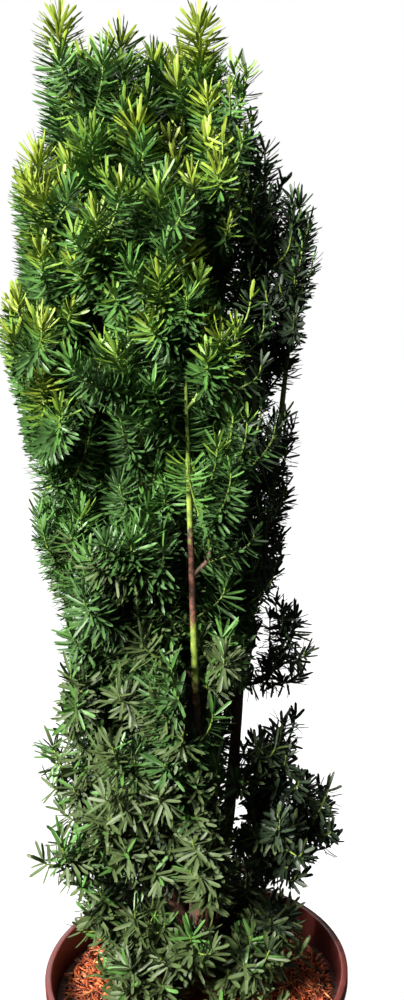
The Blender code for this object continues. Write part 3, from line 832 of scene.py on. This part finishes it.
green_twig, shader, place = new_material("green_twig", 0.5)
feed(shader, "Base Color", place.speckle(180, 3.0).step(0.3, 0.7).mixed(TWIG_GREEN, TWIG_GREEN_SHADE))
relief(shader, place.speckle(900, 2.0), 0.0002)
brown_twig, shader, place = new_material("brown_twig", 0.7)
feed(shader, "Base Color", place.speckle(260, 3.0).step(0.3, 0.7).mixed(TWIG_BROWN, BARK_DARK))
relief(shader, place.speckle(700, 3.0), 0.0003)

twig_points, twig_faces, twig_kinds = [], [], []
count = 0
for shoot in shoots:
    line = evenly(shoot.line, TWIG_STEP)
    line = np.vstack((line[0] - (line[1] - line[0]) * TWIG_SUNK, line))
    share = np.linspace(0, 1, len(line))
    root = TWIG_ROOTS[shoot.order]
    if shoot.mass.startswith("top_of_") and shoot.order == 0:
        root = limb_lines[shoot.mass.removeprefix("top_of_")][1][-1]
    radii = root + (TWIG_TIP - root) * share ** TWIG_TAPER
    rings = tube_points(line, radii, TWIG_SIDES)
    twig_points.append(rings.reshape(-1, 3))
    twig_faces.append(ring_faces(*rings.shape[:2]) + count)
    brown = shoot.order == 0 and not shoot.mass.startswith("top_of_")
    twig_kinds.append(np.repeat(share[1:] < (BROWN_SHARE if brown else 0.0), TWIG_SIDES))
    count += rings.shape[0] * TWIG_SIDES
twigs = piece(
    "twigs", np.vstack(twig_points), np.vstack(twig_faces), [green_twig, brown_twig],
    np.concatenate(twig_kinds))
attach(twigs, "root")
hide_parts(*main_lines)

# The needles: flat, soft-pointed blades two to three millimetres wide, set in a spiral all round each shoot
# and closing over its tip. They are lime green on the newest growth and dull grey-green low down. Many
# needles in the heart of the crown and on its right side carry painted shade: a near-black green in place
# of the shadow that falls there.
NEEDLE_SEED = 5
NEEDLE_LINE_STEP = 0.004

# By a shoot's order: the step between needles, the bare root and the share of the needles' full length.
PITCHES = (0.00029, 0.00036, 0.00043)
BARE_ROOTS = (0.003, 0.003, 0.002)
ORDER_LENGTHS = (1.0, 0.95, 0.86)

# By height: the share of needles kept, their length, width, bend and how loosely they stand.
CROWDING = ((0.30, 0.42, 0.64), (0.44, 0.50, 1.0))
NEEDLE_LENGTHS = ((0.30, 0.46, 0.55, 0.68, 0.84, 0.92), (0.0205, 0.0235, 0.0235, 0.0200, 0.0200, 0.0225))
NEEDLE_WIDTHS = ((0.35, 0.60), (0.0030, 0.0022))
CURVES = ((0.48, 0.66), (-0.05, -0.36))
STIFFNESS = ((0.48, 0.66), (0.32, 0.13))

# By distance from the shoot's tip: the lean away from the shoot in degrees and the share of the length.
LEANS = ((0, 0.002, 0.005, 0.012, 0.04), (12, 46, 65, 79, 88))
TIP_LENGTHS = ((0, 0.004, 0.010, 0.05), (0.92, 0.90, 1.0, 0.98))

# How far each needle strays from the rule, and how much its point and its face lean up.
TURN_SCATTER = 0.12
LEAN_SCATTER = 30
FACE_SCATTER = 0.46
LENGTH_SCATTER = (0.88, 1.06)
WIDTH_SCATTER = (0.88, 1.15)
SCORE_SCATTER = 0.05
LIFT = 0.04
FACE_LIFT = 0.35

# Where needles are left out or shortened: at bark, mulch and outline, and on the thin right side.
BARK_SPACE = 0.0008
MULCH_SPACE = 0.003
NEEDLE_MARGIN = 0.007
CROPPED = 0.72
SPARSE_MASSES = ("spray_right", "spray_right_upper", "twig_right")
SPARSE_SIDE = 0.036
SPARSE_LEVEL = 0.42
SPARSE_LENGTH = 0.74
SPARSE_KEPT = 0.45

# The blade: places along it, their widths, and the depth of its fold as shares of its length and width.
STATIONS = (0.05, 0.42, 0.88)
STATION_WIDTHS = (0.60, 1.0, 0.84)
FOLD = 0.16
BLADE_POINTS = 3 * len(STATIONS) + 1
PIECE_BLADES = 19000

# Name, colour and roughness of each kind of needle, from the newest growth to the oldest, and last a
# near-black green that is painted shade.
NEEDLE_KINDS = (
    ("needles_lime", (0.245, 0.330, 0.030, 1), 0.52),
    ("needles_fresh", (0.140, 0.255, 0.026, 1), 0.50),
    ("needles_green", (0.074, 0.188, 0.034, 1), 0.48),
    ("needles_deep", (0.052, 0.124, 0.030, 1), 0.48),
    ("needles_grey", (0.064, 0.100, 0.027, 1), 0.58),
    # Painted shade: a near-black green that stands in for the shadow inside the crown and on its right.
    ("needles_shaded", (0.026, 0.046, 0.020, 1), 0.55),
)
LIME, FRESH, GREEN, DEEP, GREY, PAINTED_SHADE = range(len(NEEDLE_KINDS))
LEAST_SCORES = (0.72, 0.44, 0.18)
TINT = 0.72

# New growth: how far it reaches from a tip, and its vigour by order, height and place from left to right.
# The change from left to right is partly real growth and partly painted light and shade: more lime green
# where the light falls on the left and just right of the middle, much less on the shaded right.
YOUNG_REACHES = (0.042, 0.042, 0.015)
YOUNG_FALL = 1.3
LEAST_VIGOURS = (0.90, 0.55, 0.35)
MOST_VIGOUR = 1.05
VIGOUR_FOOT = 0.50
VIGOUR_RISE = 0.28
VIGOUR_LOW = 0.22
VIGOUR_AND_LIGHT_ACROSS = ((-0.085, -0.045, 0.00, 0.03, 0.08), (1.20, 0.70, 0.95, 1.3, 0.35))

# Dull growth low down, and the painted shade by depth in the crown, by place to the right and by height.
DULL_CHANCES = (0.30, 1.0)
DULL_FOOT = 0.26
DULL_RISE = 0.40
PAINTED_SHADE_CORE = ((0.20, 0.46), (1.0, 0.0))
PAINTED_SHADE_RIGHT = ((0.040, 0.072), (0.0, 0.92))
PAINTED_SHADE_LEVELS = ((0.22, 0.30, 0.78, 0.90), (0.0, 1.0, 1.0, 0.25))

outline_levels, outline_left, outline_right = np.array(OUTLINE).T
needle_points = [[] for _ in NEEDLE_KINDS]
needle_dice = np.random.default_rng(NEEDLE_SEED)
for shoot in shoots:
    line = evenly(shoot.line, NEEDLE_LINE_STEP)
    length = np.linalg.norm(np.diff(line, axis=0), axis=1).sum()
    places = np.arange(BARE_ROOTS[shoot.order], length, PITCHES[shoot.order])
    number = len(places)
    from_tip = length - places
    along = np.linspace(0, length, len(line))
    axes = np.array(frames(line))
    centre = np.column_stack([np.interp(places, along, line[:, axis]) for axis in range(3)])
    forward, across, aside = (
        np.column_stack([np.interp(places, along, axes[:, which, axis]) for axis in range(3)])
        for which in range(3))
    level = centre[:, 2]
    loose = np.interp(level, *STIFFNESS)

    # The way each needle points and the way its face looks.
    turn = np.radians(GOLDEN) * np.arange(number) + needle_dice.normal(0, TURN_SCATTER, number)
    outward = np.cos(turn)[:, None] * across + np.sin(turn)[:, None] * aside
    lean = np.interp(from_tip, *LEANS) + LEAN_SCATTER * loose * needle_dice.normal(0, 1, number)
    lean = np.radians(lean)[:, None]
    heading = np.cos(lean) * forward + np.sin(lean) * outward
    heading[:, 2] += LIFT
    heading /= np.linalg.norm(heading, axis=1)[:, None]
    normal = forward + FACE_LIFT * UP + needle_dice.normal(0, FACE_SCATTER, (number, 3))
    normal -= heading * (normal * heading).sum(axis=1)[:, None]
    normal /= np.linalg.norm(normal, axis=1)[:, None]

    # Its size and bend.
    reach = np.interp(level, *NEEDLE_LENGTHS) * np.interp(from_tip, *TIP_LENGTHS)
    reach *= needle_dice.uniform(*LENGTH_SCATTER, number)
    reach *= ORDER_LENGTHS[shoot.order]
    width = np.interp(level, *NEEDLE_WIDTHS) * needle_dice.uniform(*WIDTH_SCATTER, number)
    bend = np.interp(level, *CURVES) + loose * needle_dice.normal(0, 1, number)
    sparse = (centre[:, 0] > SPARSE_SIDE) & (level > SPARSE_LEVEL) | (shoot.mass in SPARSE_MASSES)
    reach = np.where(sparse, SPARSE_LENGTH * reach, reach)

    # Whether there is room for it.
    tip = centre + heading * reach[:, None]
    kept = limb_clearance(tip) > BARK_SPACE
    kept &= limb_clearance(centre + heading * 0.6 * reach[:, None]) > BARK_SPACE
    kept &= tip[:, 2] > LEAST_HEIGHT - MULCH_SPACE
    share_kept = np.where(sparse, SPARSE_KEPT, np.interp(level, *CROWDING))
    kept &= needle_dice.uniform(0, 1, number) < share_kept
    kept &= ~(before_stem(tip) | before_stem(centre + 0.5 * heading * reach[:, None]))
    if shoot.kept_in:
        outside = ~inside_outline(tip, NEEDLE_MARGIN)
        reach = np.where(outside, reach * CROPPED, reach)
        kept &= inside_outline(centre + heading * reach[:, None], NEEDLE_MARGIN)

    # Its kind.
    high = shoot.line[-1][2]
    young = np.exp(-(from_tip / YOUNG_REACHES[shoot.order]) ** YOUNG_FALL)
    vigour = np.clip((high - VIGOUR_FOOT) / VIGOUR_RISE, VIGOUR_LOW, 1.0)
    vigour *= needle_dice.uniform(LEAST_VIGOURS[shoot.order], MOST_VIGOUR)
    # Partly painted light and shade: more lime where the light falls, much less on the shaded right.
    vigour = vigour * np.interp(centre[:, 0], *VIGOUR_AND_LIGHT_ACROSS)
    score = young * vigour + needle_dice.normal(0, SCORE_SCATTER, number)
    dull = needle_dice.uniform(*DULL_CHANCES) > (high - DULL_FOOT) / DULL_RISE
    kind = np.select([score > least for least in LEAST_SCORES], [LIME, FRESH, GREEN], GREY if dull else DEEP)
    # Painted shade: needles deep in the crown and on its right side take the near-black colour of shadow.
    left = np.interp(level, outline_levels, outline_left)
    right = np.interp(level, outline_levels, outline_right)
    depth = np.hypot((centre[:, 0] - (left + right) / 2) / ((right - left) / 2), centre[:, 1] / DEPTH)
    shaded = np.interp(depth, *PAINTED_SHADE_CORE) + np.interp(centre[:, 0], *PAINTED_SHADE_RIGHT)
    shaded *= np.interp(level, *PAINTED_SHADE_LEVELS)
    kind = np.where(needle_dice.uniform(0, 1, number) < shaded, PAINTED_SHADE, kind)

    # The blade itself: three folded rows of three points and its soft point.
    side = np.cross(heading, normal) * (0.5 * width)[:, None]
    columns = []
    for station, wide in zip(STATIONS, STATION_WIDTHS):
        sag = (bend * reach * station ** 2 / 2)[:, None]
        spine = centre + heading * (station * reach)[:, None] - normal * sag
        fold = normal * (FOLD * width * wide)[:, None]
        columns += [spine + side * wide, spine - fold, spine - side * wide]
    columns += [centre + heading * reach[:, None] - normal * (bend * reach / 2)[:, None]]
    blades = np.stack(columns, axis=1)
    for which in range(len(NEEDLE_KINDS)):
        needle_points[which].append(blades[kept & (kind == which)])

blade_faces = []
for left, right in ((0, 1), (1, 2)):
    for row in (0, 3):
        first, second = row + left, row + right
        blade_faces += [(first, first + 3, second), (second, first + 3, second + 3)]
    blade_faces.append((6 + left, 9, 6 + right))
blade_faces = np.array(blade_faces)
for (name, colour, roughness), blades in zip(NEEDLE_KINDS, needle_points):
    blades = np.concatenate(blades)
    needle, shader, place = new_material(name, roughness)
    shade = tuple(TINT * channel for channel in colour[:3]) + (1,)
    feed(shader, "Base Color", place.speckle(130, 2.0).step(0.3, 0.7).mixed(colour, shade))
    for part, group in enumerate(np.array_split(blades, math.ceil(len(blades) / PIECE_BLADES)), 1):
        faces = blade_faces[None] + BLADE_POINTS * np.arange(len(group))[:, None, None]
        made = piece(f"{name}_{part}", group.reshape(-1, 3), faces.reshape(-1, 3), [needle])
        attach(made, "root")

# The studio: a pale floor, a strong soft lamp at the upper left in front, and two weak ones above and behind,
# so that the right side of the crown goes dark. The camera stands 0.83 m in front, a little above the middle
# of the plant, and looks slightly down.
CAMERA_PLACE = (0.0179, -0.828, 0.791)
CAMERA_PITCH = math.radians(11.76)
CAMERA_ROLL = math.radians(-1.86)
VIEW_ANGLE = math.radians(50)
SENSOR = 36.0
MIDDLE = Vector((0, 0, 0.6))
FLOOR_RADIUS = 9.0
FLOOR_PROFILE = ((0.001, 0.0), (FLOOR_RADIUS, 0.0), (FLOOR_RADIUS, -0.01), (0.001, -0.01))
FLOOR_TURNS = 64
FLOOR_GREY = (0.12, 0.12, 0.12, 1)
WHITE = (1.0, 1.0, 1.0, 1)
ROOM_LIGHT = (0.062, 0.064, 0.068, 1)

cos_pitch, sin_pitch = math.cos(CAMERA_PITCH), math.sin(CAMERA_PITCH)
ahead = Vector((0, cos_pitch, -sin_pitch))
above = Vector((0, sin_pitch, cos_pitch))
right = Vector((1, 0, 0)) * math.cos(CAMERA_ROLL) + above * math.sin(CAMERA_ROLL)
above = above * math.cos(CAMERA_ROLL) - Vector((1, 0, 0)) * math.sin(CAMERA_ROLL)
lens = bpy.data.cameras.new("camera")
lens.sensor_width = SENSOR
lens.lens = SENSOR / 2 / math.tan(VIEW_ANGLE / 2)
lens.clip_start = 0.01
camera = bpy.data.objects.new("camera", lens)
camera.matrix_world = Matrix.Translation(CAMERA_PLACE) @ Matrix((right, above, -ahead)).transposed().to_4x4()
bpy.context.scene.collection.objects.link(camera)
bpy.context.scene.camera = camera


def soft_light(name, place, size, power, colour):
    """A square soft light aimed at the middle of the plant."""
    lamp = bpy.data.lights.new(name, "AREA")
    lamp.size = size
    lamp.energy = power
    lamp.color = colour
    holder = bpy.data.objects.new(name, lamp)
    holder.location = place
    holder.rotation_mode = "QUATERNION"
    holder.rotation_quaternion = (Vector(place) - MIDDLE).to_track_quat("Z", "Y")
    bpy.context.scene.collection.objects.link(holder)


soft_light("key", (-1.6, -1.7, 1.9), 0.5, 300, (1.0, 0.98, 0.95))
soft_light("top", (-0.5, 0.2, 2.6), 1.0, 18, (0.95, 0.98, 1.0))
soft_light("back", (-0.8, 2.4, 1.9), 1.4, 24, (0.97, 0.98, 1.0))

floor_points, floor_faces = turned(FLOOR_PROFILE, FLOOR_TURNS)
paper, shader, place = new_material("pale_floor", 0.9)
shader.inputs["Base Color"].default_value = FLOOR_GREY
shader.inputs["Emission Color"].default_value = WHITE
shader.inputs["Emission Strength"].default_value = 1.0
floor = piece("floor", floor_points, floor_faces[:, ::-1], [paper], smooth=False)
floor.visible_diffuse = False
floor.visible_glossy = False
floor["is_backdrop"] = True

world = bpy.data.worlds.new("studio")
world.use_nodes = True
bpy.context.scene.world = world
room = world.node_tree.nodes
seen = Signal(room.new("ShaderNodeLightPath").outputs["Is Camera Ray"])
surround = seen.mixed(ROOM_LIGHT, WHITE)
world.node_tree.links.new(surround.socket, room["Background"].inputs["Color"])
bpy.context.scene.view_settings.view_transform = "Standard"

low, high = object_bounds()
